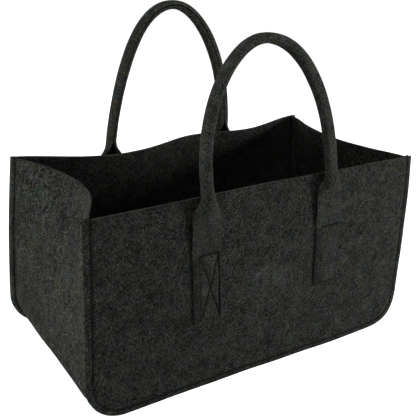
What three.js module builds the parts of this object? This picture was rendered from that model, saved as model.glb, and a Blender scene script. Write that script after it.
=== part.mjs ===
// Felt log bag, standing open on its base.
// Two felt panels with rounded bottom corners are sewn to one long felt strip, the gusset,
// which makes both ends and the base. The strip's edges turn outwards, so a flat lip runs
// round each panel. The two handles are felt strips, sewn flat to the panels and rolled
// into a tube above the rim.
// Millimetres: +X along the bag to the right, +Y to the back, +Z up. The origin is on the
// floor under the middle of the whole bag, handles included.

import * as THREE from "three";

const { clamp, degToRad, lerp, smoothstep } = THREE.MathUtils;

// Felt and sewing
const FELT = 3;
const SEWN_GAP = 0.3; // between two sheets that are sewn together
const LIP = 9; // flat lip outside the end walls and under the base
const FOLD_RADIUS = 3.2; // where the gusset turns into its lip, at the middle of the felt

// Panels
const PANEL_LENGTH = 500;
const PANEL_HEIGHT = 256;
const BAG_DEPTH = 250; // outer face of the front panel to outer face of the back panel
const CORNER_RADIUS = 50;
const MIDDLE_Y = 3.2; // halfway between the panels: the front handle stands out further
const LEAN_START = 40; // the walls stand straight below this height and lean above it
const CORNER_STEPS = 5; // facets round a bottom corner
const BASE_STEPS = 10; // facets of the gusset along the base
const WALL_STEPS = 8; // facets from a bottom corner up to the rim

// Each row of dents pushes the rim in: its place along the panel, how far it reaches to
// each side, and its depth. A negative depth pushes the rim out. Bows push the foot of the
// panel out in the same way. rightDraw is how far the right corner of the rim is drawn in
// towards the middle besides, and leftPinch how far the left edge is, below the rim.
// rightCorner is how far the right bottom corner is stretched out and down.
const FRONT_PANEL = {
  name: "front_panel",
  side: -1,
  columns: 20,
  rightDraw: 0,
  leftPinch: 0,
  rightCorner: 3.5,
  bows: [
    { at: 0, reach: 400, depth: 1.8 },
    { at: 150, reach: 190, depth: 4.4 },
  ],
  dents: [
    { at: -250, reach: 200, depth: 4 },
    { at: 0, reach: 250, depth: 11 },
    { at: 250, reach: 200, depth: 9 },
  ],
};
const BACK_PANEL = {
  name: "back_panel",
  side: 1,
  columns: 30,
  rightDraw: 6,
  leftPinch: 2.2,
  rightCorner: 0,
  bows: [],
  dents: [
    { at: -250, reach: 200, depth: 4 },
    { at: -117, reach: 202, depth: 37 },
    { at: 0, reach: 250, depth: 13 },
    { at: 134, reach: 142, depth: 23 },
    { at: 250, reach: 200, depth: -5 },
  ],
};

// Gusset: how far the rim of each end folds in. The base bulges out between the lips as
// far as the lips' edges, so that it lies on the floor.
const END_DENT = { left: 40, right: 23 };
const BULGE = LIP - FELT / 2;
const BULGE_WIDTH = 18; // from the seam to where the bulge is full
const BULGE_FULL = 0.6; // how far a bottom corner faces down where the bulge is full
const BULGE_BACK = 0.8; // how much less a corner bulges at the back than at the front
const FOLD_STEPS = 3;
const WALL_COLUMNS = [0.05, 0.1, 0.16, 0.25, 0.37, 0.5, 0.63, 0.75, 0.84, 0.9, 0.95];

// Handles
const TAB_WIDTH = 40; // the strip where it is sewn flat
const ROLLED_WIDTH = 38; // the strip where its edges are tucked in and rolled
const ROLL_CLOSED = 0.97; // share of a full turn, which leaves a narrow slit
const LEG_EASE = 5; // height over which a leg turns from the panel's lean to its own
const STRIP_COLUMNS = 10;
const ROLL_STEPS = 40; // small steps from the middle of the strip to a place across it
const FLAT_TAB_STEPS = 8;
const ROLLING_STEPS = 6;
const ARCH_STEPS = 28;
const TURN_STEP = 0.01; // small turn either side of a place on the arch, for its direction

// Each handle: the middle of its two legs along the rim and the span between them, the
// height of its arch above the rim, how far its top leans over the bag, and the heights
// along the strip where a tab begins to roll up and where the roll is closed. Each side:
// the height of the tab's lower end, how far the tab drifts to the right for each
// millimetre down, how far the arch bows out half-way up, and how far it sways in below
// that and out above. The ovals flatten the roll: along the panel below 0, across it above.
const FRONT_HANDLE = {
  name: "front_handle",
  panel: FRONT_PANEL,
  middle: -3.6,
  span: 190.6,
  rise: 168,
  lean: 40,
  rollStart: 226,
  rollEnd: 262,
  topOval: 0.8,
  left: { tabEnd: 96, drift: 0.05, bow: 2, sway: 0, legOval: -0.1, shoulderOval: 0.8 },
  right: { tabEnd: 101, drift: 0.045, bow: 5.7, sway: 0, legOval: -1, shoulderOval: -1 },
};
const BACK_HANDLE = {
  name: "back_handle",
  panel: BACK_PANEL,
  middle: -16.6,
  span: 199,
  rise: 186,
  lean: -5,
  rollStart: 231,
  rollEnd: 273,
  topOval: 1,
  left: { tabEnd: 108, drift: 0, bow: -3.6, sway: 1.7, legOval: 1, shoulderOval: 0.2 },
  right: { tabEnd: 108, drift: 0, bow: -0.8, sway: -1.1, legOval: -1, shoulderOval: -0.44 },
};

// A closed sheet of felt. grid holds rows of points on the middle of its thickness.
function feltSheet(grid) {
  const rows = grid.length;
  const columns = grid[0].length;
  const upperFace = [];
  const lowerFace = [];
  for (let row = 0; row < rows; row += 1) {
    for (let column = 0; column < columns; column += 1) {
      const before = grid[row][Math.max(column - 1, 0)];
      const after = grid[row][Math.min(column + 1, columns - 1)];
      const below = grid[Math.max(row - 1, 0)][column];
      const above = grid[Math.min(row + 1, rows - 1)][column];
      const across = after.clone().sub(before);
      const along = above.clone().sub(below);
      const half = across.cross(along).setLength(FELT / 2);
      upperFace.push(grid[row][column].clone().add(half));
      lowerFace.push(grid[row][column].clone().sub(half));
    }
  }
  const lower = rows * columns;
  const triangles = [];
  for (let row = 0; row + 1 < rows; row += 1) {
    for (let column = 0; column + 1 < columns; column += 1) {
      const a = row * columns + column;
      const b = a + 1;
      const c = a + columns + 1;
      const d = a + columns;
      triangles.push(a, b, c, a, c, d);
      triangles.push(lower + a, lower + c, lower + b, lower + a, lower + d, lower + c);
    }
  }
  const border = borderOf(rows, columns);
  border.forEach((from, index) => {
    const to = border[(index + 1) % border.length];
    triangles.push(lower + from, lower + to, to, lower + from, to, from);
  });
  const geometry = new THREE.BufferGeometry().setFromPoints([...upperFace, ...lowerFace]);
  geometry.setIndex(triangles);
  return geometry;
}

// The numbers of a grid's outer points, in order round its border
function borderOf(rows, columns) {
  const border = [];
  const lastRow = (rows - 1) * columns;
  for (let column = 0; column + 1 < columns; column += 1) {
    border.push(column);
  }
  for (let row = 0; row + 1 < rows; row += 1) {
    border.push(row * columns + columns - 1);
  }
  for (let column = columns - 1; column > 0; column -= 1) {
    border.push(lastRow + column);
  }
  for (let row = rows - 1; row > 0; row -= 1) {
    border.push(row * columns);
  }
  return border;
}

function feltMesh(name, grid) {
  const felt = new THREE.MeshStandardMaterial({ color: 0x35363a, roughness: 0.97, metalness: 0 });
  const mesh = new THREE.Mesh(feltSheet(grid), felt);
  mesh.name = name;
  return mesh;
}

// Share of a wall's full lean: 0 up to LEAN_START and 1 at the rim
function leanShare(up) {
  return Math.max((up - LEAN_START) / (PANEL_HEIGHT - LEAN_START), 0);
}

// A wall that leans keeps its length, so its rim comes down a little
function leanDrop(depth, up) {
  return (2 * depth ** 2 * leanShare(up) ** 3) / (3 * (PANEL_HEIGHT - LEAN_START));
}

// Depth of a row of dents or bows at a place along the panel
function depthOf(dents, along) {
  let depth = 0;
  for (const dent of dents) {
    const distance = clamp(Math.abs(along - dent.at) / dent.reach, 0, 1);
    depth += dent.depth * Math.cos((distance * Math.PI) / 2) ** 2;
  }
  return depth;
}

// A dented rim keeps its length too, so it is drawn in towards the panel's middle
function drawnIn(panel, along) {
  const steps = 50;
  const step = along / steps;
  let total = 0;
  for (let index = 0; index < steps && along !== 0; index += 1) {
    const rise = depthOf(panel.dents, (index + 1) * step) - depthOf(panel.dents, index * step);
    total += rise ** 2 / (2 * step);
  }
  return total;
}

// Share of a pinch: 1 at two thirds of the lean, and 0 at its foot and at the rim
function pinchShare(lean) {
  return 6.75 * lean ** 2 * (1 - lean);
}

// Share of a corner's stretch: 1 on its arc, and 0 along the base and up the side
function cornerShare(along, up) {
  const straight = PANEL_LENGTH / 2 - CORNER_RADIUS;
  const beside = smoothstep(along, straight, PANEL_LENGTH / 2 - CORNER_RADIUS / 10);
  return beside * (1 - smoothstep(up, CORNER_RADIUS / 10, CORNER_RADIUS));
}

// Where a point of the flat cut panel comes to lie on the standing bag
function panelPoint(panel, along, up) {
  const depth = depthOf(panel.dents, along);
  const bow = depthOf(panel.bows, along);
  const lean = leanShare(up);
  const draw = panel.rightDraw * smoothstep(along, 0, PANEL_LENGTH / 2);
  const pinch = panel.leftPinch * smoothstep(-along, 0, PANEL_LENGTH / 2);
  const stretch = panel.rightCorner * cornerShare(along, up);
  const inwards = lean ** 4 * drawnIn(panel, along) + lean ** 2 * draw;
  return new THREE.Vector3(
    along - inwards + pinchShare(lean) * pinch + stretch,
    panel.side * (BAG_DEPTH / 2 - FELT / 2 - depth * lean ** 2 + bow * (1 - lean)),
    up - leanDrop(depth, up) - stretch,
  );
}

function panelInward(panel, along, up) {
  const across = panelPoint(panel, along + 1, up).sub(panelPoint(panel, along - 1, up));
  const rising = panelPoint(panel, along, up + 1).sub(panelPoint(panel, along, up - 1));
  return across.cross(rising).setLength(panel.side);
}

// A point beside the panel, at a distance inwards from the middle of its felt
function besidePanel(panel, along, up, inward) {
  const normal = panelInward(panel, along, up);
  return panelPoint(panel, along, up).addScaledVector(normal, inward);
}

function panelGrid(panel) {
  const rows = [];
  for (let step = 0; step <= CORNER_STEPS; step += 1) {
    const angle = degToRad((90 * step) / CORNER_STEPS);
    rows.push({
      up: CORNER_RADIUS * (1 - Math.cos(angle)),
      half: PANEL_LENGTH / 2 - CORNER_RADIUS * (1 - Math.sin(angle)),
    });
  }
  for (let step = 1; step <= WALL_STEPS; step += 1) {
    rows.push({ up: lerp(CORNER_RADIUS, PANEL_HEIGHT, step / WALL_STEPS), half: PANEL_LENGTH / 2 });
  }
  return rows.map((row) => {
    const points = [];
    for (let column = 0; column <= panel.columns; column += 1) {
      points.push(panelPoint(panel, lerp(-row.half, row.half, column / panel.columns), row.up));
    }
    return points;
  });
}

// Places along the gusset from the left rim to the right one, in the flat panel's
// coordinates, each with the direction that points out of the bag
function gussetStations() {
  const left = [];
  for (let step = 0; step < WALL_STEPS; step += 1) {
    const up = lerp(PANEL_HEIGHT, CORNER_RADIUS, step / WALL_STEPS);
    left.push({ along: LIP - PANEL_LENGTH / 2, up, outAlong: -1, outUp: 0 });
  }
  const seamRadius = CORNER_RADIUS - LIP;
  for (let step = 0; step <= CORNER_STEPS; step += 1) {
    const angle = degToRad((90 * step) / CORNER_STEPS);
    left.push({
      along: CORNER_RADIUS - PANEL_LENGTH / 2 - seamRadius * Math.cos(angle),
      up: CORNER_RADIUS - seamRadius * Math.sin(angle),
      outAlong: -Math.cos(angle),
      outUp: -Math.sin(angle),
    });
  }
  const right = left.map((station) => ({
    ...station,
    along: -station.along,
    outAlong: -station.outAlong,
  }));
  const base = [];
  const half = PANEL_LENGTH / 2 - CORNER_RADIUS;
  for (let step = 1; step < BASE_STEPS; step += 1) {
    base.push({ along: lerp(-half, half, step / BASE_STEPS), up: LIP, outAlong: 0, outUp: -1 });
  }
  return [...left, ...base, ...right.reverse()];
}

// The lip and its fold in section: distance out of the bag from the gusset's wall, and
// distance inwards from the middle of the panel that the lip lies on
function lipSection() {
  const start = FELT + SEWN_GAP;
  const section = [{ out: LIP, inward: start }];
  for (let step = 0; step <= FOLD_STEPS; step += 1) {
    const angle = degToRad((90 * step) / FOLD_STEPS);
    section.push({
      out: FOLD_RADIUS * (1 - Math.sin(angle)),
      inward: start + FOLD_RADIUS * (1 - Math.cos(angle)),
    });
  }
  return section;
}

// One row of the gusset across the bag, from the edge of the front lip to that of the back
function gussetRow(station) {
  const { along, up, outAlong, outUp } = station;
  const lipOn = (panel) =>
    lipSection().map(({ out, inward }) =>
      besidePanel(panel, along + outAlong * out, up + outUp * out, inward),
    );
  const front = lipOn(FRONT_PANEL);
  const back = lipOn(BACK_PANEL).reverse();
  const from = front[front.length - 1];
  const to = back[0];
  const rimDent = along < 0 ? END_DENT.left : END_DENT.right;
  const fullBulge = BULGE * smoothstep(-outUp, 0, BULGE_FULL);
  const wall = WALL_COLUMNS.map((share) => {
    const depth = rimDent * Math.sin(share * Math.PI);
    const toSeam = Math.min(share, 1 - share) * from.distanceTo(to);
    const backLess = 1 - BULGE_BACK * share * Math.abs(outAlong);
    const bulge = fullBulge * backLess * smoothstep(toSeam, 0, BULGE_WIDTH);
    const point = from.clone().lerp(to, share);
    point.x += outAlong * (bulge - depth * leanShare(up) ** 2);
    point.z += outUp * bulge - leanDrop(depth, up);
    return point;
  });
  return [...front, ...wall, ...back];
}

// Section of the strip at a place across it: sideways, and towards the bag. roll is the
// share of a full turn that the strip is rolled by, and oval flattens the roll.
function rolledStrip(share, roll, oval) {
  const step = (share * lerp(TAB_WIDTH, ROLLED_WIDTH, roll)) / 2 / ROLL_STEPS;
  let sideways = 0;
  let towards = 0;
  for (let index = 0; index < ROLL_STEPS; index += 1) {
    const reached = (share * (index + 0.5)) / ROLL_STEPS;
    const flattening = (oval * Math.sin(2 * Math.PI * reached)) / (2 * Math.PI);
    const angle = roll * Math.PI * (reached + flattening);
    sideways += step * Math.cos(angle);
    towards += step * Math.sin(angle);
  }
  return { sideways, towards };
}

// A leg of a handle up to the rim. Its strip follows the panel, so each place is given in the
// flat panel's coordinates. handed is the panel's direction that runs sideways on the strip.
function tabPlaces(handle, side, legAt, handed) {
  const heights = [];
  for (let step = 0; step < FLAT_TAB_STEPS; step += 1) {
    heights.push(lerp(side.tabEnd, handle.rollStart, step / FLAT_TAB_STEPS));
  }
  for (let step = 0; step <= ROLLING_STEPS; step += 1) {
    heights.push(lerp(handle.rollStart, PANEL_HEIGHT, step / ROLLING_STEPS));
  }
  return heights.map((up) => {
    const along = legAt + side.drift * (PANEL_HEIGHT - up);
    const spot = (sideways, away) =>
      besidePanel(handle.panel, along + handed * sideways, up, -FELT - SEWN_GAP - away);
    return {
      spot,
      roll: rollAt(handle, up),
      oval: side.legOval,
      point: spot(0, 0),
      slope: panelSlope(handle.panel, along, up),
    };
  });
}

// How far the panel's surface runs to the back for each millimetre up
function panelSlope(panel, along, up) {
  const normal = panelInward(panel, along, up);
  return -normal.z / normal.y;
}

function rollAt(handle, height) {
  return ROLL_CLOSED * smoothstep(height, handle.rollStart, handle.rollEnd);
}

// Flattening of the roll on the arch, by way of the side's shoulder to the top
function ovalAt(handle, side, turn) {
  const reached = Math.min(turn, Math.PI - turn) / (Math.PI / 4);
  return reached < 1
    ? lerp(side.legOval, side.shoulderOval, reached)
    : lerp(side.shoulderOval, handle.topOval, reached - 1);
}

// The arch between two legs: nearly half an ellipse, which leaves each panel in line with it
function archPlaces(handle, leftLeg, rightLeg) {
  const { panel, rise, lean } = handle;
  const archSlope = (-panel.side * lean) / rise;
  const pointAt = (turn) => {
    const onLeft = turn < Math.PI / 2;
    const leg = onLeft ? leftLeg : rightLeg;
    const { bow, sway } = onLeft ? handle.left : handle.right;
    const fromLeg = Math.min(turn, Math.PI - turn);
    const inward = sway * Math.sin(4 * fromLeg) - bow * Math.sin(2 * fromLeg);
    const height = rise * Math.sin(turn);
    const point = leftLeg.point.clone().lerp(rightLeg.point, (1 - Math.cos(turn)) / 2);
    point.x += onLeft ? inward : -inward;
    point.y += archSlope * height + (leg.slope - archSlope) * height * Math.exp(-height / LEG_EASE);
    point.z += height;
    return point;
  };
  const places = [];
  for (let step = 1; step < ARCH_STEPS; step += 1) {
    const turn = (Math.PI * step) / ARCH_STEPS;
    const forward = pointAt(turn + TURN_STEP).sub(pointAt(turn - TURN_STEP)).normalize();
    const bagSide = new THREE.Vector3(0, -panel.side, 0);
    bagSide.addScaledVector(forward, -bagSide.dot(forward)).normalize();
    const outer = forward.clone().cross(bagSide);
    const spot = (sideways, away) =>
      pointAt(turn).addScaledVector(outer, sideways).addScaledVector(bagSide, -away);
    places.push({
      spot,
      roll: rollAt(handle, PANEL_HEIGHT + rise * Math.sin(turn)),
      oval: ovalAt(handle, turn < Math.PI / 2 ? handle.left : handle.right, turn),
    });
  }
  return places;
}

function handleGrid(handle) {
  const { side } = handle.panel;
  const leftAt = handle.middle - handle.span / 2;
  const rightAt = handle.middle + handle.span / 2;
  const left = tabPlaces(handle, handle.left, leftAt, side);
  const right = tabPlaces(handle, handle.right, rightAt, -side);
  const arch = archPlaces(handle, left[left.length - 1], right[right.length - 1]);
  return [...left, ...arch, ...right.reverse()].map(({ spot, roll, oval }) => {
    const edge = rolledStrip(1, roll, oval);
    const points = [];
    for (let column = 0; column <= STRIP_COLUMNS; column += 1) {
      const section = rolledStrip(lerp(-1, 1, column / STRIP_COLUMNS), roll, oval);
      points.push(spot(section.sideways, edge.towards - section.towards));
    }
    return points;
  });
}

const bag = new THREE.Group();
bag.position.y = MIDDLE_Y;
for (const panel of [FRONT_PANEL, BACK_PANEL]) {
  bag.add(feltMesh(panel.name, panelGrid(panel)));
}
bag.add(feltMesh("gusset", gussetStations().map(gussetRow)));
for (const handle of [FRONT_HANDLE, BACK_HANDLE]) {
  bag.add(feltMesh(handle.name, handleGrid(handle)));
}

export default bag;
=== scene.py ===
import math
import bpy
import numpy as np
from mathutils import Matrix, Vector


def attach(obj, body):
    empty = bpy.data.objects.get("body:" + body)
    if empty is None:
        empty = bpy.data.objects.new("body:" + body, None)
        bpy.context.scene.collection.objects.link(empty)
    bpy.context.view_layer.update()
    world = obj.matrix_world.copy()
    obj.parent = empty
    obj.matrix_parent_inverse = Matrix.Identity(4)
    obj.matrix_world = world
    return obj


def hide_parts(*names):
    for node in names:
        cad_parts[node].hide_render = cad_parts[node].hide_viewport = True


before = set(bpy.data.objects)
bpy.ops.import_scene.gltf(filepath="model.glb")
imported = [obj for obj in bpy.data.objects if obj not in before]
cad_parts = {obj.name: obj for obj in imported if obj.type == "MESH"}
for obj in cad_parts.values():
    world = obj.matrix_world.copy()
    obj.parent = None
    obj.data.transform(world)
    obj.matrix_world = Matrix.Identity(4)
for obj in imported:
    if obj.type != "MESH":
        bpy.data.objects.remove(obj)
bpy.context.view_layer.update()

# Panels
# The front and the back are two sheets of 3 mm needle felt, cut alike with rounded bottom
# corners. Each is sewn to the gusset's lip round its sides and bottom, 8 mm from the cut
# edge, and its upper edge is left raw. The sizes are millimetres of the flat cut.
MM = 0.001
FELT = 3.0
SEWN_GAP = 0.3
PANEL_LENGTH = 500.0
PANEL_HEIGHT = 256.0
BAG_DEPTH = 250.0
CORNER_RADIUS = 50.0
LEAN_START = 40.0
MIDDLE_Y = 3.2
PANEL_SEAM = 8.0
SEAM_DIP = 0.75
STITCHED_WIDTH = 1.4
# Darkening of the lips' cut edges: partly the felt's own darker cut edge, partly painted shade of
# the gap between the sewn layers.
LIP_EDGE_DARK_AND_SHADE = 1.1
EDGE_ROUND = 1.1
EDGE_THINNED = 0.8
PANEL_WAVES = {"shortest": 70, "longest": 190, "height": 0.5}
FELT_LUMPS = {"shortest": 9, "longest": 24, "height": 0.07}
PANEL_STEP = 2.7
CLOSE_STEPS = np.array([0, 0.25, 0.6, 1.1, 2, 3.2, 4.6, 5.8, 6.6, 7.4, 8.2, 9.4, 11.5])
FRONT_PANEL = {
    "side": -1,
    "right_draw": 0.0,
    "left_pinch": 0.0,
    "right_corner": 3.5,
    "seed": 11,
    "bows": (
        {"at": 0, "reach": 400, "depth": 1.8},
        {"at": 150, "reach": 190, "depth": 4.4},
    ),
    "lighter_spots": (
        {"at": (-14, 138), "size": (20, 7), "depth": 0.22},
        {"at": (28, 133), "size": (16, 9), "depth": 0.2},
        {"at": (132, 127), "size": (7, 7), "depth": 0.35},
        {"at": (12, 118), "size": (48, 34), "depth": 0.09},
        {"at": (10, 150), "size": (100, 70), "depth": 0.06},
        {"at": (-45, 50), "size": (60, 25), "depth": 0.1},
        {"at": (-15, 139), "size": (4, 2.5), "depth": 0.4},
        {"at": (-172, 229), "size": (16, 7), "depth": 0.14},
        {"at": (60, 60), "size": (60, 40), "depth": 0.06},
    ),
    "dents": (
        {"at": -250, "reach": 200, "depth": 4},
        {"at": 0, "reach": 250, "depth": 11},
        {"at": 250, "reach": 200, "depth": 9},
    ),
}
BACK_PANEL = {
    "side": 1,
    "right_draw": 6.0,
    "left_pinch": 2.2,
    "right_corner": 0.0,
    "seed": 12,
    "bows": (),
    "lighter_spots": ({"at": (-60, 120), "size": (30, 12), "depth": 0.15},),
    "dents": (
        {"at": -250, "reach": 200, "depth": 4},
        {"at": -117, "reach": 202, "depth": 37},
        {"at": 0, "reach": 250, "depth": 13},
        {"at": 134, "reach": 142, "depth": 23},
        {"at": 250, "reach": 200, "depth": -5},
    ),
}


def ripple(seed, across, along, shortest, longest, height):
    """Soft unevenness of felt: waves in many directions, with lengths in a given range."""
    random = np.random.default_rng(seed)
    waves = 16
    total = np.zeros(np.broadcast(across, along).shape)
    for _ in range(waves):
        length = random.uniform(shortest, longest)
        heading = random.uniform(0, math.tau)
        phase = random.uniform(0, math.tau)
        way = across * math.cos(heading) + along * math.sin(heading)
        total += np.sin(math.tau * way / length + phase)
    return height * total / math.sqrt(waves)


def lean_share(up):
    """How far up the leaning part a height is: 0 where it starts and 1 at the rim."""
    return np.maximum((up - LEAN_START) / (PANEL_HEIGHT - LEAN_START), 0)


def lean_drop(depth, up):
    """How far a point sinks because the felt keeps its length as it leans."""
    return 2 * depth**2 * lean_share(up) ** 3 / (3 * (PANEL_HEIGHT - LEAN_START))


def depth_of(dents, along):
    depth = np.zeros_like(along)
    for dent in dents:
        distance = np.clip(np.abs(along - dent["at"]) / dent["reach"], 0, 1)
        depth = depth + dent["depth"] * np.cos(distance * math.pi / 2) ** 2
    return depth


def drawn_in(panel, along):
    """A dented rim keeps its length, so it is drawn in towards the panel's middle."""
    reach = PANEL_LENGTH / 2 + 20
    places = np.linspace(-reach, reach, 541)
    rises = np.diff(depth_of(panel["dents"], places))
    total = np.append(0, np.cumsum(rises**2 / (2 * np.diff(places))))
    return np.interp(along, places, total - np.interp(0, places, total))


def corner_share(along, up):
    """Share of a corner's stretch: 1 on its arc, and 0 along the base and up the side."""
    half = PANEL_LENGTH / 2
    beside = smooth(along, half - CORNER_RADIUS, half - CORNER_RADIUS / 10)
    return beside * (1 - smooth(up, CORNER_RADIUS / 10, CORNER_RADIUS))


def panel_point(panel, along, up):
    """Where a point of the flat cut panel comes to lie on the standing bag."""
    depth = depth_of(panel["dents"], along)
    lean = lean_share(up)
    out = BAG_DEPTH / 2 - FELT / 2 - depth * lean**2 + depth_of(panel["bows"], along) * (1 - lean)
    out = out + ripple(panel["seed"], along, up, **PANEL_WAVES)
    draw = panel["right_draw"] * smooth(along, 0, PANEL_LENGTH / 2)
    halfway = 6.75 * lean**2 * (1 - lean)  # 1 at two thirds of the lean, 0 at its ends
    pinch = panel["left_pinch"] * smooth(-along, 0, PANEL_LENGTH / 2) * halfway
    stretch = panel["right_corner"] * corner_share(along, up)
    x = along - lean**4 * drawn_in(panel, along) - lean**2 * draw + pinch + stretch
    z = up - lean_drop(depth, up) - stretch
    return np.stack(np.broadcast_arrays(x, MIDDLE_Y + panel["side"] * out, z), -1)


def unit(vectors):
    return vectors / np.linalg.norm(vectors, axis=-1, keepdims=True)


def panel_inward(panel, along, up):
    across = panel_point(panel, along + 1, up) - panel_point(panel, along - 1, up)
    rising = panel_point(panel, along, up + 1) - panel_point(panel, along, up - 1)
    return panel["side"] * unit(np.cross(across, rising))


def beside_panel(panel, along, up, inward):
    """A point beside the panel, at a distance inwards from the middle of its felt."""
    inward = np.broadcast_to(inward, np.broadcast(along, up).shape)
    return panel_point(panel, along, up) + panel_inward(panel, along, up) * inward[..., None]


def from_seam_edge(along, up):
    """Distance from the sewn edge, which runs down one side, along the bottom and up."""
    beside = PANEL_LENGTH / 2 - np.abs(along)
    corner = CORNER_RADIUS - np.hypot(CORNER_RADIUS - beside, CORNER_RADIUS - up)
    in_corner = (beside < CORNER_RADIUS) & (up < CORNER_RADIUS)
    return np.where(in_corner, corner, np.minimum(beside, up))


def spaced(low, high, step):
    """Places from low to high, close together near both ends."""
    count = max(2, round((high - low - 2 * CLOSE_STEPS[-1]) / step))
    inner = np.linspace(low + CLOSE_STEPS[-1], high - CLOSE_STEPS[-1], count + 1)
    return np.concatenate([low + CLOSE_STEPS[:-1], inner, high - CLOSE_STEPS[-2::-1]])


def smooth(value, low, high):
    share = np.clip((value - low) / (high - low), 0, 1)
    return share * share * (3 - 2 * share)


def stitched_at(distance, width):
    """How hard a row of stitches presses the felt at a distance from it."""
    return np.exp(-((distance / width) ** 2))


def half_felt(from_cut, stitched):
    """Half the felt's thickness: rounded at a cut edge and drawn in along a row of stitches."""
    rounding = np.sqrt(1 - EDGE_THINNED * (1 - np.clip(from_cut / EDGE_ROUND, 0, 1)) ** 2)
    return FELT / 2 * rounding - SEAM_DIP * stitched


def border_of(rows, columns):
    numbers = np.arange(rows * columns).reshape(rows, columns)
    sides = (numbers[0, :-1], numbers[:-1, -1], numbers[-1, :0:-1], numbers[:0:-1, 0])
    return np.concatenate(sides)


def lighter_spot_mask(lighter_spots, flat):
    """Soft spots where the felt's colour is lighter: place, half-width, half-height and depth."""
    mask = np.zeros(flat.shape[:2])
    for lighter_spot in lighter_spots:
        away = (flat - np.array(lighter_spot["at"])) / np.array(lighter_spot["size"])
        mask += lighter_spot["depth"] * np.exp(-(away**2).sum(-1))
    return mask


def felt_sheet(name, middle, flat, from_cut, stitched, lip, tone_spots_and_painted_light, seed, material):
    """A closed sheet from rows of points on the middle of the felt, with its flat map."""
    rows, columns = middle.shape[:2]
    half = half_felt(from_cut, stitched)
    normal = unit(np.cross(np.gradient(middle, axis=1), np.gradient(middle, axis=0)))
    lumps = [ripple(seed + face, flat[..., 0], flat[..., 1], **FELT_LUMPS) for face in (0, 1)]
    upper = middle + normal * (half + lumps[0])[..., None]
    lower = middle - normal * (half + lumps[1])[..., None]
    points = np.concatenate([upper.reshape(-1, 3), lower.reshape(-1, 3)]) * MM
    count = rows * columns
    numbers = np.arange(count).reshape(rows, columns)
    corners = (numbers[:-1, :-1], numbers[:-1, 1:], numbers[1:, 1:], numbers[1:, :-1])
    face = np.stack(corners, -1).reshape(-1, 4)
    border = border_of(rows, columns)
    after = np.roll(border, -1)
    rim = np.stack([border + count, after + count, after, border], 1)
    faces = np.concatenate([face, face[:, ::-1] + count, rim])
    mesh = bpy.data.meshes.new(name)
    mesh.from_pydata(points.tolist(), [], faces.tolist())
    mesh.polygons.foreach_set("use_smooth", np.ones(len(faces), bool))

    flat_points = flat.reshape(-1, 2)
    steps = np.linalg.norm(flat_points[after] - flat_points[border], axis=1)
    reached = np.append(0, np.cumsum(steps))
    far = 3 * PANEL_LENGTH
    rim_map = np.stack(
        [
            np.stack([reached[:-1], np.full(len(border), far)], 1),
            np.stack([reached[1:], np.full(len(border), far)], 1),
            np.stack([reached[1:], np.full(len(border), far + FELT)], 1),
            np.stack([reached[:-1], np.full(len(border), far + FELT)], 1),
        ],
        1,
    )
    other_side = np.array([2 * PANEL_LENGTH, 0])
    maps = (flat_points[face], flat_points[face[:, ::-1]] + other_side, rim_map)
    loops = np.concatenate([each.reshape(-1, 2) for each in maps]) * MM
    mesh.uv_layers.new(name="flat").uv.foreach_set("vector", loops.astype(np.float32).ravel())
    raw = np.zeros(count)
    raw[border] = 1 - lip.ravel()[border]
    # Darkening along the stitches and at the lips' cut edges: pressed felt plus painted shade.
    pressed_and_shaded = stitched.ravel().copy()
    pressed_and_shaded[border] = np.maximum(pressed_and_shaded[border], LIP_EDGE_DARK_AND_SHADE * lip.ravel()[border])
    for mask, values in (("pressed_and_shaded", pressed_and_shaded), ("raw", raw), ("tone_spots_and_painted_light", tone_spots_and_painted_light)):
        both = np.concatenate([values.ravel(), values.ravel()]).astype(np.float32)
        mesh.attributes.new(mask, "FLOAT", "POINT").data.foreach_set("value", both)
    mesh.materials.append(material)
    piece = bpy.data.objects.new(name, mesh)
    bpy.context.scene.collection.objects.link(piece)
    return piece


def feed(tree, socket, value):
    """Link a node's output to a socket, or set a plain value on it."""
    if isinstance(value, bpy.types.NodeSocket):
        tree.links.new(value, socket)
    else:
        socket.default_value = value


def add_node(tree, kind, settings=None, **inputs):
    """A node with its settings, and with values or links on the named inputs."""
    node = tree.nodes.new(kind)
    for key, value in (settings or {}).items():
        setattr(node, key, value)
    for key, value in inputs.items():
        feed(tree, node.inputs[key.replace("_", " ")], value)
    return node


def calculate(tree, operation, first, second=0.0):
    node = tree.nodes.new("ShaderNodeMath")
    node.operation = operation
    for socket, value in zip(node.inputs, (first, second)):
        feed(tree, socket, value)
    return node.outputs[0]


def mix_colours(tree, share, first, second):
    node = tree.nodes.new("ShaderNodeMix")
    node.data_type = "RGBA"
    feed(tree, node.inputs[0], share)
    feed(tree, node.inputs[6], first)
    feed(tree, node.inputs[7], second)
    return node.outputs[2]


def felt_noise(tree, flat, **inputs):
    plane = {"noise_dimensions": "2D"}
    return add_node(tree, "ShaderNodeTexNoise", plane, Vector=flat, **inputs)


FELT_INPUTS = {
    "Flat": "NodeSocketVector",
    "Dark": "NodeSocketColor",
    "Light": "NodeSocketColor",
    "Flecks": "NodeSocketFloat",
    "Grain": "NodeSocketFloat",
    "Spots_And_Painted_Light": "NodeSocketFloat",
}
FELT_OUTPUTS = {"Colour": "NodeSocketColor", "Height": "NodeSocketFloat"}
FIBRES = (
    {"turn": 18, "length": 6.5, "width": 0.5},
    {"turn": 74, "length": 7.5, "width": 0.45},
    {"turn": 128, "length": 5.5, "width": 0.55},
)
FIBRE_BEND = 16
FLECKED_FROM = 0.9
FLECK_COLOUR = (0.16, 0.16, 0.15, 1)
TUFT_SHARE = 2.0
CLOUD_SHARE = 0.5
FIBRE_SHARE = 1.2
DARK_SHARE = 1.43
DARK_POWER = 2.2
COOL_DYE = (1.0, 0.965, 1.12, 1)
WARM_DYE = (1.02, 1.03, 0.78, 1)
TEAL_DYE = (0.78, 1.08, 1.02, 1)
TUFT_HEIGHT = 0.9
FLECK_HEIGHT = 0.5


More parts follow.
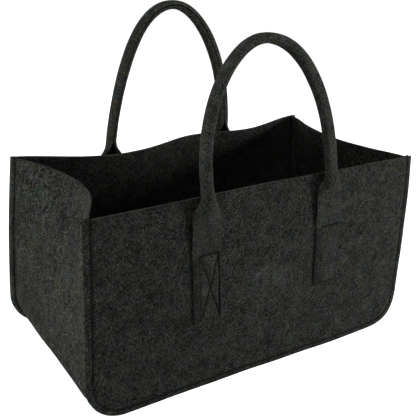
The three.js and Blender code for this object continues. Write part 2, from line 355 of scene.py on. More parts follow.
def needle_felt_group():
    """Matted fibres on the flat cut: their colour and how high they stand."""
    tree = bpy.data.node_groups.new("needle_felt", "ShaderNodeTree")
    for side, sockets in (("INPUT", FELT_INPUTS), ("OUTPUT", FELT_OUTPUTS)):
        for name, kind in sockets.items():
            tree.interface.new_socket(name, in_out=side, socket_type=kind)
    given = tree.nodes.new("NodeGroupInput").outputs
    millimetres = tree.nodes.new("ShaderNodeVectorMath")
    millimetres.operation = "SCALE"
    tree.links.new(calculate(tree, "DIVIDE", 1 / MM, given["Grain"]), millimetres.inputs["Scale"])
    tree.links.new(given["Flat"], millimetres.inputs[0])
    flat = millimetres.outputs[0]

    bend = felt_noise(tree, flat, Scale=0.025, Detail=2.0, Roughness=0.35)
    bent = tree.nodes.new("ShaderNodeVectorMath")
    bent.operation = "MULTIPLY_ADD"
    tree.links.new(bend.outputs["Color"], bent.inputs[0])
    bent.inputs[1].default_value = (FIBRE_BEND, FIBRE_BEND, 0)
    tree.links.new(flat, bent.inputs[2])

    shades = []
    flecks = []
    for layer in FIBRES:
        turned = add_node(
            tree,
            "ShaderNodeMapping",
            {"vector_type": "TEXTURE"},
            Vector=bent.outputs[0],
            Rotation=(0, 0, math.radians(layer["turn"])),
            Scale=(layer["length"], layer["width"], 1),
        )
        fibres = add_node(
            tree,
            "ShaderNodeTexVoronoi",
            {"voronoi_dimensions": "2D"},
            Vector=turned.outputs[0],
            Scale=1.0,
        )
        kinds = add_node(tree, "ShaderNodeSeparateColor", Color=fibres.outputs["Color"])
        shades.append(kinds.outputs[0])
        rare = calculate(tree, "GREATER_THAN", kinds.outputs[1], FLECKED_FROM)
        flecks.append(calculate(tree, "MULTIPLY", rare, kinds.outputs[2]))
    matted = calculate(tree, "ADD", calculate(tree, "ADD", shades[0], shades[1]), shades[2])
    matted = calculate(tree, "MULTIPLY", matted, 1 / 3)
    bright = calculate(tree, "MAXIMUM", calculate(tree, "MAXIMUM", flecks[0], flecks[1]), flecks[2])

    tufts = felt_noise(tree, flat, Scale=0.42, Detail=3.0, Roughness=0.65).outputs["Fac"]
    clouds = felt_noise(tree, flat, Scale=0.045, Detail=3.0).outputs["Fac"]
    share = calculate(tree, "MULTIPLY", tufts, TUFT_SHARE)
    share = calculate(tree, "ADD", share, calculate(tree, "MULTIPLY", clouds, CLOUD_SHARE))
    share = calculate(tree, "ADD", share, calculate(tree, "MULTIPLY", matted, FIBRE_SHARE))
    share = calculate(tree, "SUBTRACT", share, DARK_SHARE)
    # Lighter spots, painted light on the gusset's lip and painted shade on the tabs shift the tone
    # here.
    share = calculate(tree, "ADD", share, given["Spots_And_Painted_Light"])
    clamped = tree.nodes.new("ShaderNodeClamp")
    tree.links.new(share, clamped.inputs[0])
    share = calculate(tree, "POWER", clamped.outputs[0], DARK_POWER)
    colour = mix_colours(tree, share, given["Dark"], given["Light"])

    dyes = felt_noise(tree, flat, Scale=0.055, Detail=2.0).outputs["Fac"]
    spots = felt_noise(tree, bent.outputs[0], Scale=0.04, Detail=1.0).outputs["Fac"]
    warm = add_node(tree, "ShaderNodeMapRange", From_Min=0.35, From_Max=0.65, Value=dyes)
    teal = add_node(tree, "ShaderNodeMapRange", From_Min=0.62, From_Max=0.78, Value=spots)
    dye = mix_colours(tree, warm.outputs[0], COOL_DYE, WARM_DYE)
    dye = mix_colours(tree, teal.outputs[0], dye, TEAL_DYE)
    dyed = add_node(tree, "ShaderNodeMix", {"data_type": "RGBA", "blend_type": "MULTIPLY"})
    dyed.inputs[0].default_value = 1
    tree.links.new(colour, dyed.inputs[6])
    tree.links.new(dye, dyed.inputs[7])
    fleck_share = calculate(tree, "MULTIPLY", bright, given["Flecks"])
    colour = mix_colours(tree, fleck_share, dyed.outputs[2], FLECK_COLOUR)

    height = calculate(tree, "ADD", matted, calculate(tree, "MULTIPLY", tufts, TUFT_HEIGHT))
    height = calculate(tree, "ADD", height, calculate(tree, "MULTIPLY", bright, FLECK_HEIGHT))
    made = tree.nodes.new("NodeGroupOutput")
    tree.links.new(colour, made.inputs["Colour"])
    tree.links.new(height, made.inputs["Height"])
    return tree


needle_felt = needle_felt_group()
CUT_EDGE = (0.06, 0.06, 0.054, 1)
CUT_EDGE_SHARE = 0.6
# Felt along the rows of stitches and at the lips' cut edges is darkened. This is partly the felt's
# own darker colour where it is pressed and cut. It is partly painted shade of the grooves and of
# the gap between the layers.
SEAM_DARK_AND_SHADE = (0.007, 0.007, 0.0064, 1)
SEAM_DARK_AND_SHADE_SHARE = 0.9


def felt_material(name, dark, light, flecks, grain):
    material = bpy.data.materials.new(name)
    material.use_nodes = True
    tree = material.node_tree
    shader = tree.nodes["Principled BSDF"]
    flat = add_node(tree, "ShaderNodeUVMap", {"uv_map": "flat"})
    fibres = tree.nodes.new("ShaderNodeGroup")
    fibres.node_tree = needle_felt
    fibres.inputs["Dark"].default_value = (*dark, 1)
    fibres.inputs["Light"].default_value = (*light, 1)
    fibres.inputs["Flecks"].default_value = flecks
    fibres.inputs["Grain"].default_value = grain
    tree.links.new(flat.outputs["UV"], fibres.inputs["Flat"])
    # This attribute holds lighter spots, painted light on the gusset's lip and painted shade on the
    # tabs.
    tone_spots_and_painted_light = add_node(tree, "ShaderNodeAttribute", {"attribute_name": "tone_spots_and_painted_light"})
    tree.links.new(tone_spots_and_painted_light.outputs["Fac"], fibres.inputs["Spots_And_Painted_Light"])
    raw = add_node(tree, "ShaderNodeAttribute", {"attribute_name": "raw"})
    cut_share = calculate(tree, "MULTIPLY", raw.outputs["Fac"], CUT_EDGE_SHARE)
    colour = mix_colours(tree, cut_share, fibres.outputs["Colour"], CUT_EDGE)
    # Darker along stitches and lip edges: pressed felt plus painted shade.
    pressed_and_shaded = add_node(tree, "ShaderNodeAttribute", {"attribute_name": "pressed_and_shaded"})
    seam_dark_and_shade_share = calculate(tree, "MULTIPLY", pressed_and_shaded.outputs["Fac"], SEAM_DARK_AND_SHADE_SHARE)
    colour = mix_colours(tree, seam_dark_and_shade_share, colour, SEAM_DARK_AND_SHADE)
    tree.links.new(colour, shader.inputs["Base Color"])
    height = fibres.outputs["Height"]
    bump = add_node(tree, "ShaderNodeBump", Strength=0.5, Distance=0.0009, Height=height)
    tree.links.new(bump.outputs["Normal"], shader.inputs["Normal"])
    shader.inputs["Roughness"].default_value = 0.95
    shader.inputs["Specular IOR Level"].default_value = 0.05
    shader.inputs["Sheen Weight"].default_value = 0.03
    shader.inputs["Sheen Roughness"].default_value = 0.5
    return material


panel_felt = felt_material(
    "panel_felt",
    dark=(0.007, 0.007, 0.0064),
    light=(0.1, 0.102, 0.09),
    flecks=0.4,
    grain=1.0,
)
panel_along = spaced(-PANEL_LENGTH / 2, PANEL_LENGTH / 2, PANEL_STEP)
panel_up = spaced(0, PANEL_HEIGHT, PANEL_STEP)
corner_in = np.clip(CORNER_RADIUS - panel_up, 0, None)
row_half = PANEL_LENGTH / 2 - CORNER_RADIUS + np.sqrt(CORNER_RADIUS**2 - corner_in**2)
grid_along = panel_along[None] * (row_half / (PANEL_LENGTH / 2))[:, None]
grid_up = np.broadcast_to(panel_up[:, None], grid_along.shape)
seam_edge = from_seam_edge(grid_along, grid_up)
panel_cut = np.minimum(seam_edge, PANEL_HEIGHT - grid_up)
panel_seam = seam_edge - PANEL_SEAM
panel_flat = np.stack([grid_along, grid_up], -1)
panel_lip = smooth(-panel_seam, -1, 1)
for name, panel in (("front_panel", FRONT_PANEL), ("back_panel", BACK_PANEL)):
    middle = panel_point(panel, grid_along, grid_up)
    piece = felt_sheet(
        f"{name}_felt",
        middle,
        panel_flat,
        panel_cut,
        stitched_at(panel_seam, STITCHED_WIDTH),
        panel_lip,
        lighter_spot_mask(panel["lighter_spots"], panel_flat),
        panel["seed"],
        panel_felt,
    )
    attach(piece, "root")
    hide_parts(name)

# Gusset
# One long strip of the same felt makes the left end, the base and the right end. Its two
# edges turn outwards into a lip 9 mm wide that is sewn to the panels, and spreads a little
# from the front one. The rims of both ends fold in, and the base bulges down to the floor.
LIP = 9.0
LIP_SEAM = 7.0
FOLD_RADIUS = 3.2
END_DENT = {"left": 40.0, "right": 23.0}
BULGE = LIP - FELT / 2
BULGE_WIDTH = 18.0
BULGE_FULL = 0.6
BULGE_BACK = 0.8
SEAM_PUFF = 1.0
PUFF_RISES = (0, 6)
PUFF_FALLS = (8, 45)
WALL_WAVES = {"shortest": 60, "longest": 170, "height": 0.6}
WAVES_FROM_SEAM = (0, 30)
GUSSET_STEP = 3.0
GUSSET_TURN_ROWS = 24
GUSSET_BASE_ROWS = 65
FOLD_COLUMNS = 9
WALL_COLUMNS = 82
GUSSET_SEED = 31
GUSSET_LIGHTER_SPOTS = (
    {"at": (-72, 45), "size": (12, 34), "depth": 0.2},
    {"at": (-55, 120), "size": (45, 60), "depth": 0.09},
    {"at": (30, 80), "size": (14, 20), "depth": 0.1},
)
LIP_SPREAD = {"front": 3.0, "back": 0.0}
SPREAD_CURVE = 1.5
SPREAD_WAVE = 0.4
SPREAD_WAVE_LENGTH = 17
LIP_DIP = 0.5
# The gusset's lip is painted lighter: painted light for a face that the lamps hardly reach.
GUSSET_LIP_PAINTED_LIGHT = 0.4
SEAM_PULL = 0.75
SEAM_PULL_AT = 3.0
SEAM_PULL_WIDTH = 2.0


def gusset_stations():
    """Places from the left rim to the right one, with the direction out of the bag."""
    wall_up = PANEL_HEIGHT - spaced(0, PANEL_HEIGHT - CORNER_RADIUS, GUSSET_STEP)[:-1]
    side = LIP - PANEL_LENGTH / 2
    rows = [(side, up, -1.0, 0.0) for up in wall_up]
    turn_radius = CORNER_RADIUS - LIP
    turns = np.radians(np.linspace(0, 90, GUSSET_TURN_ROWS))
    for turn in turns:
        along = CORNER_RADIUS - PANEL_LENGTH / 2 - turn_radius * math.cos(turn)
        up = CORNER_RADIUS - turn_radius * math.sin(turn)
        rows.append((along, up, -math.cos(turn), -math.sin(turn)))
    base = np.linspace(CORNER_RADIUS - PANEL_LENGTH / 2, 0, GUSSET_BASE_ROWS)[1:]
    rows += [(along, LIP, 0.0, -1.0) for along in base]
    left = np.array(rows)
    right = left[-2::-1] * np.array([-1, 1, -1, 1])
    return np.concatenate([left, right])


def seam_pull(out):
    """How far the thread draws the lip against the panel, at a distance out from its fold."""
    return SEAM_PULL * np.clip(1 - np.abs(out - SEAM_PULL_AT) / SEAM_PULL_WIDTH, 0, 1)


stations = gusset_stations()
station_along, station_up, out_along, out_up = (stations[:, [k]] for k in range(4))
lip_out = LIP - CLOSE_STEPS[CLOSE_STEPS < LIP - FOLD_RADIUS - 0.5]
folds = np.radians(np.linspace(0, 90, FOLD_COLUMNS))
fold_out = np.concatenate([lip_out, FOLD_RADIUS * (1 - np.sin(folds))])
fold_in = np.concatenate([0 * lip_out, FOLD_RADIUS * (1 - np.cos(folds))]) + FELT + SEWN_GAP
strip_way = np.append(0, np.cumsum(np.linalg.norm(np.diff(stations[:, :2], axis=0), axis=1)))
lip_rows = {}
for name, panel in (("front", FRONT_PANEL), ("back", BACK_PANEL)):
    free = np.clip((fold_out - (LIP - LIP_SEAM)) / LIP_SEAM, 0, 1) ** SPREAD_CURVE
    wave = np.sin(strip_way / SPREAD_WAVE_LENGTH + panel["seed"])
    spread = LIP_SPREAD[name] * (1 + SPREAD_WAVE * wave)
    along = station_along + out_along * fold_out
    up = station_up + out_up * fold_out
    depth = fold_in - seam_pull(fold_out) + spread[:, None] * free
    lip_rows[name] = beside_panel(panel, along, up, depth)
start = lip_rows["front"][:, -1:]
end = lip_rows["back"][:, -1:]
wall_share = np.linspace(0, 1, WALL_COLUMNS)[1:-1]
wall = start + (end - start) * wall_share[:, None]
rim_dent = np.where(station_along < 0, END_DENT["left"], END_DENT["right"])
wall_depth = rim_dent * np.sin(wall_share * math.pi)
wall_width = np.linalg.norm(end - start, axis=-1)
to_seam = np.minimum(wall_share, 1 - wall_share) * wall_width
back_less = 1 - BULGE_BACK * wall_share * np.abs(out_along)
bulge = BULGE * smooth(-out_up, 0, BULGE_FULL) * back_less * smooth(to_seam, 0, BULGE_WIDTH)
puff = SEAM_PUFF * smooth(to_seam, *PUFF_RISES) * (1 - smooth(to_seam, *PUFF_FALLS))
bulge = bulge + puff * (1 + out_up)
wall_wave = ripple(GUSSET_SEED, wall_share * wall_width, strip_way[:, None], **WALL_WAVES)
wall_wave = wall_wave * smooth(to_seam, *WAVES_FROM_SEAM)
wall[..., 0] += out_along * (bulge + wall_wave - wall_depth * lean_share(station_up) ** 2)
wall[..., 2] += out_up * bulge - lean_drop(wall_depth, station_up)
gusset_middle = np.concatenate([lip_rows["front"], wall, lip_rows["back"][:, ::-1]], 1)
row_steps = np.linalg.norm(np.diff(gusset_middle, axis=1), axis=-1)
row_way = np.concatenate([np.zeros((len(stations), 1)), np.cumsum(row_steps, 1)], 1)
row_width = row_way[:, -1:]
from_lip_edge = np.minimum(row_way, row_width - row_way)
from_rim = np.minimum(strip_way, strip_way[-1] - strip_way)[:, None]
gusset_cut = np.minimum(from_lip_edge, from_rim)
gusset_seam = from_lip_edge - LIP_SEAM
gusset_flat = np.stack(np.broadcast_arrays(row_way - row_width / 2, strip_way[:, None]), -1)
gusset_lip = smooth(-gusset_seam, -1, 1)
gusset_felt = felt_material(
    "gusset_felt",
    dark=(0.007, 0.007, 0.0062),
    light=(0.084, 0.086, 0.073),
    flecks=0.4,
    grain=1.35,
)
gusset = felt_sheet(
    "gusset_felt",
    gusset_middle,
    gusset_flat,
    gusset_cut,
    LIP_DIP * stitched_at(gusset_seam, STITCHED_WIDTH),
    gusset_lip,
    # The lip's share here is painted light.
    lighter_spot_mask(GUSSET_LIGHTER_SPOTS, gusset_flat) + GUSSET_LIP_PAINTED_LIGHT * gusset_lip,
    GUSSET_SEED,
    gusset_felt,
)
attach(gusset, "root")
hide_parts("gusset")

# Handles
# Each handle is one felt strip, 40 mm wide and flat where its two tabs are sewn to a panel.
# Above the rim its edges are tucked in and it is rolled into a tube, with its slit on the
# side of the bag.
TAB_WIDTH = 40.0
ROLLED_WIDTH = 38.0
ROLL_CLOSED = 0.97
LEG_EASE = 5.0
ROLL_STEPS = 40
STRIP_COLUMNS = 44
EDGE_STEPS = np.array([0, 0.25, 0.6, 1.1])
TAB_STEP = 1.25
TAB_EVEN_FROM = 13
ROLLING_ROWS = 24
ARCH_ROWS = 170
TAB_LEFT_EDGE = 0.28
ROLL_EDGE = 0.4
STAND_OFF = 2.6
BOX_TOP = 184.0
BOX_LEFT = 9.0
BOX_RIGHT = 3.2
BOX_ABOVE_END = 3.5
BOX_STITCHED = 1.8
# Painted shade: each tab's strip left of its box, below the box's top row, is painted darker.
STRIP_PAINTED_SHADE = 0.22
WOBBLES = (
    {"width": 0.5, "length": 6.5, "start": 0.0},
    {"width": 0.4, "length": 15.0, "start": 1.0},
)
FRONT_HANDLE = {
    "panel": FRONT_PANEL,
    "seed": 41,
    "middle": -3.6,
    "span": 190.6,
    "rise": 168.0,
    "lean": 40.0,
    "roll": (226.0, 262.0),
    "top_oval": 0.8,
    "sides": {
        -1: {
            "tab_end": 96.0,
            "drift": 0.05,
            "bow": 2.0,
            "sway": -1.5,
            "ovals": (-0.1, 0.8),
            "stitching": {"top": 0.85, "right": 1.2, "low": 0.5, "left": 0.35, "cross": 0.7},
        },
        1: {
            "tab_end": 101.0,
            "drift": 0.045,
            "bow": 5.7,
            "sway": 0.0,
            "ovals": (-1.0, -1.0),
            "stitching": {"top": 0.95, "right": 0.25, "low": 0.5, "left": 0.2, "cross": 0.12},
        },
    },
}
BACK_HANDLE = {
    "panel": BACK_PANEL,
    "seed": 42,
    "middle": -16.6,
    "span": 199.0,
    "rise": 186.0,
    "lean": -5.0,
    "roll": (231.0, 273.0),
    "top_oval": 1.0,
    "sides": {
        -1: {
            "tab_end": 108.0,
            "drift": 0.0,
            "bow": -3.6,
            "sway": 1.7,
            "ovals": (1.0, 0.2),
            "stitching": {"top": 0.8, "right": 0.8, "low": 0.7, "left": 0.8, "cross": 0.7},
        },
        1: {
            "tab_end": 108.0,
            "drift": 0.0,
            "bow": -0.8,
            "sway": -1.1,
            "ovals": (-1.0, -0.44),
            "stitching": {"top": 0.8, "right": 0.8, "low": 0.7, "left": 0.8, "cross": 0.7},
        },
    },
}


def rolled_strip(share, roll, oval):
    """Section of the strip: sideways, and towards the bag."""
    width = TAB_WIDTH + (ROLLED_WIDTH - TAB_WIDTH) * roll
    reached = share[:, None] * (np.arange(ROLL_STEPS) + 0.5) / ROLL_STEPS
    angle = roll * math.pi * (reached + oval * np.sin(math.tau * reached) / math.tau)
    step = share * width / 2 / ROLL_STEPS
    return np.cos(angle).sum(1) * step, np.sin(angle).sum(1) * step


def roll_at(handle, height):
    return ROLL_CLOSED * smooth(height, *handle["roll"])


def leg_along(handle, leg, up):
    start = handle["middle"] + leg * handle["span"] / 2
    return start + handle["sides"][leg]["drift"] * (PANEL_HEIGHT - up)


def segment_distance(across, up, start, end):
    """Distance in the flat tab from each place to a straight row of stitches."""
    start = np.array(start)
    way = np.array(end) - start
    share = ((across - start[0]) * way[0] + (up - start[1]) * way[1]) / (way @ way)
    share = np.clip(share, 0, 1)
    return np.hypot(across - start[0] - share * way[0], up - start[1] - share * way[1])


def box_rows(side):
    """The box and cross that hold a tab: start and end of each row, and its tightness, which also
    sets how much painted groove shade the row gets.
    """
    left = BOX_LEFT - TAB_WIDTH / 2
    right = TAB_WIDTH / 2 - BOX_RIGHT
    low = side["tab_end"] + BOX_ABOVE_END
    tight = side["stitching"]
    return (
        ((left, BOX_TOP), (right, BOX_TOP), tight["top"]),
        ((right, BOX_TOP), (right, low), tight["right"]),
        ((right, low), (left, low), tight["low"]),
        ((left, low), (left, BOX_TOP), tight["left"]),
        ((left, BOX_TOP), (right, low), tight["cross"]),
        ((right, BOX_TOP), (left, low), tight["cross"]),
    )


def wobble(up):
    """Rows of stitches are not quite straight."""
    return sum(wave["width"] * np.sin(up / wave["length"] + wave["start"]) for wave in WOBBLES)


def tab_rows(handle, leg, share):
    """Rows of points from a tab's end up to the rim, their way to the cut, stitching and painted
    shade.
    """
    panel = handle["panel"]
    side = handle["sides"][leg]
    tab_end = side["tab_end"]
    oval = side["ovals"][0]
    handed = -panel["side"] * leg
    roll_start = handle["roll"][0]
    even_up = np.arange(tab_end + TAB_EVEN_FROM, roll_start, TAB_STEP)
    rolling_up = np.linspace(roll_start, PANEL_HEIGHT, ROLLING_ROWS)
    heights = np.concatenate([tab_end + CLOSE_STEPS, even_up, rolling_up])
    left_line = BOX_LEFT - TAB_WIDTH / 2
    rows = []
    cuts = []
    seams = []
    painted_shade = []
    for up in heights:
        roll = roll_at(handle, up)
        across = handed * share * TAB_WIDTH / 2 + wobble(up)
        to_side = (1 - np.abs(share)) * TAB_WIDTH / 2 * np.where(across < 0, TAB_LEFT_EDGE, 1)
        cuts.append(np.minimum(to_side, (up - tab_end) * ROLL_EDGE))
        presses = [
            tightness * stitched_at(segment_distance(across, up, start, end), BOX_STITCHED)
            for start, end, tightness in box_rows(side)
        ]
        seams.append(np.max(presses, axis=0))
        sideways, towards = rolled_strip(share, roll, oval)
        depth = rolled_strip(np.array([1.0]), roll, oval)[1]
        # Painted shade on the tab's strip left of the box, below its top row.
        strip_shade_share = smooth(-across, -left_line - 1, -left_line + 1) * (up < BOX_TOP)
        painted_shade.append(-STRIP_PAINTED_SHADE * strip_shade_share)
        thinned = (FELT / 2 - half_felt(cuts[-1], seams[-1])) * (1 - roll)
        free = np.clip((up - BOX_TOP) / (PANEL_HEIGHT - BOX_TOP), 0, 1)
        stand_off = STAND_OFF * math.sin(free * math.pi) ** 2
        along = leg_along(handle, leg, up) + handed * sideways
        inward = thinned - stand_off + towards - depth - FELT - SEWN_GAP
        rows.append(beside_panel(panel, along, np.full_like(along, up), inward))
    return np.array(rows), np.array(cuts), np.array(seams), np.array(painted_shade)


def arch_rows(handle, left_leg, right_leg, share):
    """Rows of points along the arch, nearly half an ellipse, from the panel's lean to its own."""
    side = handle["panel"]["side"]
    rise = handle["rise"]
    slope = -side * handle["lean"] / rise

    def place(turn):
        leg_side = -1 if turn < math.pi / 2 else 1
        leg = left_leg if leg_side < 0 else right_leg
        bent = handle["sides"][leg_side]
        from_leg = min(turn, math.pi - turn)
        outward = bent["bow"] * math.sin(2 * from_leg) - bent["sway"] * math.sin(4 * from_leg)
        height = rise * math.sin(turn)
        part = (1 - math.cos(turn)) / 2
        point = left_leg["point"] * (1 - part) + right_leg["point"] * part
        ease = (leg["slope"] - slope) * height * math.exp(-height / LEG_EASE)
        return point + np.array([leg_side * outward, slope * height + ease, height])

    rows = []
    for turn in np.linspace(0, math.pi, ARCH_ROWS)[1:-1]:
        forward = unit(place(turn + 0.01) - place(turn - 0.01))
        bag_side = np.array([0.0, -side, 0.0])
        bag_side = unit(bag_side - forward * (bag_side @ forward))
        outer = np.cross(forward, bag_side)
        ovals = handle["sides"][-1 if turn < math.pi / 2 else 1]["ovals"] + (handle["top_oval"],)
        reached = min(turn, math.pi - turn) / (math.pi / 4)
        oval = float(np.interp(reached, (0, 1, 2), ovals))
        roll = roll_at(handle, PANEL_HEIGHT + rise * math.sin(turn))
        sideways, towards = rolled_strip(share, roll, oval)
        depth = rolled_strip(np.array([1.0]), roll, oval)[1]
        section = outer * sideways[:, None] - bag_side * (depth - towards)[:, None]
        rows.append(place(turn) + section)
    return np.array(rows)


def handle_leg(handle, leg):
    panel = handle["panel"]
    along = np.array(leg_along(handle, leg, PANEL_HEIGHT))
    up = np.array(PANEL_HEIGHT)
    normal = panel_inward(panel, along, up)
    point = beside_panel(panel, along, up, -FELT - SEWN_GAP)
    return {"point": point, "slope": -normal[2] / normal[1]}


handle_felt = felt_material(
    "handle_felt",
    dark=(0.0165, 0.0167, 0.0152),
    light=(0.131, 0.133, 0.12),
    flecks=0.3,
    grain=0.8,
)
inner_share = np.linspace(-1, 1, STRIP_COLUMNS + 1)[1:-1]
edge_share = 1 - EDGE_STEPS / (TAB_WIDTH / 2)
strip_share = np.concatenate([-edge_share, inner_share, edge_share[::-1]])
for name, handle in (("front_handle", FRONT_HANDLE), ("back_handle", BACK_HANDLE)):
    left, left_cut, left_seam, left_painted_shade = tab_rows(handle, -1, strip_share)
    right, right_cut, right_seam, right_painted_shade = tab_rows(handle, 1, strip_share)
    arch = arch_rows(handle, handle_leg(handle, -1), handle_leg(handle, 1), strip_share)
    rolled_cut = (1 - np.abs(strip_share)) * ROLLED_WIDTH / 2 * ROLL_EDGE
    arch_cut = np.broadcast_to(rolled_cut, arch.shape[:2])
    arch_plain = np.zeros(arch.shape[:2])
    middle = np.concatenate([left, arch, right[::-1]])
    from_cut = np.concatenate([left_cut, arch_cut, right_cut[::-1]])
    stitched = np.concatenate([left_seam, arch_plain, right_seam[::-1]])
    painted_shade = np.concatenate([left_painted_shade, arch_plain, right_painted_shade[::-1]])
    no_lip = np.zeros_like(stitched)
    centre = middle[:, len(strip_share) // 2]
    way = np.append(0, np.cumsum(np.linalg.norm(np.diff(centre, axis=0), axis=1)))
    across = strip_share * TAB_WIDTH / 2
    flat = np.stack(np.broadcast_arrays(across, way[:, None]), -1)
    piece = felt_sheet(
        f"{name}_felt", middle, flat, from_cut, stitched, no_lip, painted_shade, handle["seed"], handle_felt
    )
    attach(piece, "root")
    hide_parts(name)

# Thread
# Dark sewing thread, one stitch every 4 mm, sunk into the felt at both ends. One row joins
# each panel to the gusset's lip, and a box with a cross holds each handle tab. Every row
# shows on both sides of the felt.
STITCH_PITCH = 4.0
STITCH_LENGTH = 3.4
STITCH_START = 0.08
STITCH_LIFTS = (
    {"share": 0.0, "lift": -0.5},
    {"share": 0.18, "lift": 0.12},
    {"share": 0.5, "lift": 0.26},
    {"share": 0.82, "lift": 0.12},
    {"share": 1.0, "lift": -0.5},
)
THREAD_RADIUS = 0.55
THREAD_SIDES = 6
SUNK_STITCH = 0.6
LIP_STITCH_LIFT = 0.25
SEAM_STEP = 2.0
SEAM_TURN_POINTS = 30
SEAM_BASE_POINTS = 200
BOX_ROW_POINTS = 60
THREAD_DARK = (0.002, 0.002, 0.0022, 1)
THREAD_LIGHT = (0.011, 0.011, 0.012, 1)


def stitch_rings(points, normals):
    """Rings of points of every stitch along one row."""
    steps = np.linalg.norm(np.diff(points, axis=0), axis=1)
    way = np.append(0, np.cumsum(steps))
    count = max(1, int(way[-1] / STITCH_PITCH))
    starts = (np.arange(count) + STITCH_START) * way[-1] / count
    angles = np.arange(THREAD_SIDES) * math.tau / THREAD_SIDES

    def along_row(values, at):
        return np.stack([np.interp(at, way, values[:, k]) for k in range(3)], 1)

    rings = []
    for stage in STITCH_LIFTS:
        at = starts + stage["share"] * STITCH_LENGTH
        forward = unit(along_row(points, at + 0.3) - along_row(points, at - 0.3))
        normal = unit(along_row(normals, at))
        sideways = unit(np.cross(forward, normal))
        centre = along_row(points, at) + normal * stage["lift"]
        ring = centre[:, None] + THREAD_RADIUS * (
            np.cos(angles)[None, :, None] * sideways[:, None]
            + np.sin(angles)[None, :, None] * normal[:, None]
        )
        rings.append(ring)
    return np.stack(rings, 1)


def thread_piece(name, rows, material):
    rings = np.concatenate([stitch_rings(*row) for row in rows])
    count, along, around = rings.shape[:3]
    numbers = np.arange(count * along * around).reshape(count, along, around)
    turned = np.roll(numbers, -1, axis=2)
    sides = np.stack([numbers[:, :-1], turned[:, :-1], turned[:, 1:], numbers[:, 1:]], -1)
    faces = sides.reshape(-1, 4).tolist()
    faces += numbers[:, 0, ::-1].tolist() + numbers[:, -1].tolist()
    mesh = bpy.data.meshes.new(name)
    mesh.from_pydata((rings.reshape(-1, 3) * MM).tolist(), [], faces)
    mesh.polygons.foreach_set("use_smooth", np.ones(len(faces), bool))
    mesh.materials.append(material)
    piece = bpy.data.objects.new(name, mesh)
    bpy.context.scene.collection.objects.link(piece)
    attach(piece, "root")
    return piece


def seam_path(inset):
    """The row of stitches round a panel, in the flat cut, from rim to rim."""
    radius = CORNER_RADIUS - inset
    side = PANEL_LENGTH / 2 - inset
    centre = PANEL_LENGTH / 2 - CORNER_RADIUS
    down = np.arange(PANEL_HEIGHT - SEAM_STEP, CORNER_RADIUS, -SEAM_STEP)
    wall = np.stack([np.full_like(down, -side), down], 1)
    turns = np.radians(np.linspace(0, 90, SEAM_TURN_POINTS))
    turn_along = -centre - radius * np.cos(turns)
    turn_up = CORNER_RADIUS - radius * np.sin(turns)
    left = np.concatenate([wall, np.stack([turn_along, turn_up], 1)])
    base_along = np.linspace(-centre, centre, SEAM_BASE_POINTS)[1:-1]
    base = np.stack([base_along, np.full_like(base_along, inset)], 1)
    return np.concatenate([left, base, left[::-1] * np.array([-1, 1])])


def thread_material():
    material = bpy.data.materials.new("dark_thread")
    material.use_nodes = True
    tree = material.node_tree
    shader = tree.nodes["Principled BSDF"]
    place = add_node(tree, "ShaderNodeTexCoord")
    strands = add_node(
        tree, "ShaderNodeTexNoise", Vector=place.outputs["Object"], Scale=1800.0, Detail=2.0
    ).outputs["Fac"]
    colour = mix_colours(tree, strands, THREAD_DARK, THREAD_LIGHT)
    tree.links.new(colour, shader.inputs["Base Color"])
    bump = add_node(tree, "ShaderNodeBump", Strength=0.5, Distance=0.0002, Height=strands)
    tree.links.new(bump.outputs["Normal"], shader.inputs["Normal"])
    shader.inputs["Roughness"].default_value = 0.75
    shader.inputs["Specular IOR Level"].default_value = 0.15
    return material


dark_thread = thread_material()
outer_seam = seam_path(PANEL_SEAM)
lip_seam = seam_path(LIP_SEAM)
lip_face = FELT + SEWN_GAP + FELT / 2 - SEAM_DIP * LIP_DIP + LIP_STITCH_LIFT
lip_face = lip_face - seam_pull(LIP - LIP_SEAM)
tab_face = -FELT - SEWN_GAP - FELT / 2
for name, panel in (("front", FRONT_PANEL), ("back", BACK_PANEL)):
    outer_way = -panel_inward(panel, *outer_seam.T)
    outer_row = (beside_panel(panel, *outer_seam.T, SEAM_DIP - FELT / 2), outer_way)
    lip_row = (beside_panel(panel, *lip_seam.T, lip_face), panel_inward(panel, *lip_seam.T))
    seam_thread = thread_piece(f"{name}_seam_thread", [outer_row, lip_row], dark_thread)

    handle = FRONT_HANDLE if name == "front" else BACK_HANDLE
    rows = []
    for leg in (-1, 1):
        for start, end, tightness in box_rows(handle["sides"][leg]):
            share = np.linspace(0, 1, BOX_ROW_POINTS)
            across = start[0] + (end[0] - start[0]) * share
            up = start[1] + (end[1] - start[1]) * share
            along = leg_along(handle, leg, up) + across - wobble(up)
            inward = panel_inward(panel, along, up)
            sunk = SUNK_STITCH + (2 * SEAM_DIP - SUNK_STITCH) * tightness
            rows.append((beside_panel(panel, along, up, tab_face + sunk), -inward))
            rows.append((beside_panel(panel, along, up, FELT / 2), inward))
    tab_thread = thread_piece(f"{name}_tab_thread", rows, dark_thread)

# Floor
# A plain pale floor, wide enough to fill the view from every side.
FLOOR_REACH = 12.0
floor_mesh = bpy.data.meshes.new("floor")
floor_corners = ((-1, -1, 0), (1, -1, 0), (1, 1, 0), (-1, 1, 0))
floor_mesh.from_pydata((np.array(floor_corners) * FLOOR_REACH).tolist(), [], [(0, 1, 2, 3)])
floor = bpy.data.objects.new("floor", floor_mesh)
bpy.context.scene.collection.objects.link(floor)
floor_paint = bpy.data.materials.new("floor_paint")
floor_paint.use_nodes = True
floor_shader = floor_paint.node_tree.nodes["Principled BSDF"]
floor_shader.inputs["Base Color"].default_value = (0.6, 0.6, 0.6, 1)
floor_shader.inputs["Roughness"].default_value = 0.9
floor_shader.inputs["Emission Color"].default_value = (1, 1, 1, 1)
floor_rays = floor_paint.node_tree.nodes.new("ShaderNodeLightPath").outputs["Is Camera Ray"]
floor_paint.node_tree.links.new(floor_rays, floor_shader.inputs["Emission Strength"])
floor_mesh.materials.append(floor_paint)

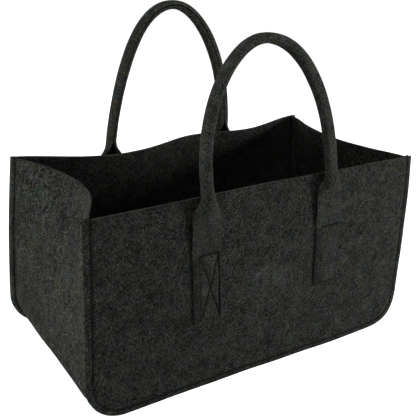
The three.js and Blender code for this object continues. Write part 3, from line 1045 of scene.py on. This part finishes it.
# Light
# Soft studio light: a lamp low on the right that grazes the front, one on the left for the
# end, larger ones above and behind, and a dim surround that looks white to the camera.
LAMPS = (
    {"name": "right", "at": (1.15, -0.75, 0.4), "size": 0.32, "power": 11.4},
    {"name": "left", "at": (-0.75, -0.06, 0.22), "size": 0.3, "power": 2.4},
    {"name": "above", "at": (-0.15, -0.3, 1.9), "size": 0.9, "power": 10},
    {"name": "behind", "at": (0.1, 1.5, 0.6), "size": 0.8, "power": 12},
)
LAMPS_AIM = Vector((0, 0, 0.15))
SURROUND = 0.056
world = bpy.data.worlds.new("studio")
world.use_nodes = True
background = world.node_tree.nodes["Background"]
background.inputs["Color"].default_value = (1, 1, 1, 1)
seen = world.node_tree.nodes.new("ShaderNodeLightPath").outputs["Is Camera Ray"]
strength = calculate(world.node_tree, "MAXIMUM", seen, SURROUND)
world.node_tree.links.new(strength, background.inputs["Strength"])
bpy.context.scene.world = world
for lamp in LAMPS:
    data = bpy.data.lights.new(lamp["name"], "AREA")
    data.energy = lamp["power"]
    data.size = lamp["size"]
    lamp_object = bpy.data.objects.new(lamp["name"], data)
    lamp_object.location = lamp["at"]
    aim = LAMPS_AIM - Vector(lamp["at"])
    lamp_object.rotation_euler = aim.to_track_quat("-Z", "Y").to_euler()
    bpy.context.scene.collection.objects.link(lamp_object)
bpy.context.scene.view_settings.view_transform = "Standard"

# Camera
# It stands to the left of the front, a little above the rim, and is turned slightly.
CAMERA_AT = Vector((-0.52511, -0.73403 + MIDDLE_Y * MM, 0.54694))
CAMERA_YAW = math.radians(35.035)
CAMERA_PITCH = math.radians(22.137)
CAMERA_ROLL = math.radians(3.209)
CAMERA_LENS = 61.36
look = Vector(
    (
        math.sin(CAMERA_YAW) * math.cos(CAMERA_PITCH),
        math.cos(CAMERA_YAW) * math.cos(CAMERA_PITCH),
        -math.sin(CAMERA_PITCH),
    )
)
level = Vector((math.cos(CAMERA_YAW), -math.sin(CAMERA_YAW), 0))
rising = level.cross(look)
axis_x = level * math.cos(CAMERA_ROLL) + rising * math.sin(CAMERA_ROLL)
axis_y = rising * math.cos(CAMERA_ROLL) - level * math.sin(CAMERA_ROLL)
camera_data = bpy.data.cameras.new("camera")
camera_data.lens = CAMERA_LENS
camera_data.sensor_width = 36
camera = bpy.data.objects.new("camera", camera_data)
turn = Matrix((axis_x, axis_y, -look)).transposed().to_4x4()
camera.matrix_world = Matrix.Translation(CAMERA_AT) @ turn
bpy.context.scene.collection.objects.link(camera)
bpy.context.scene.camera = camera
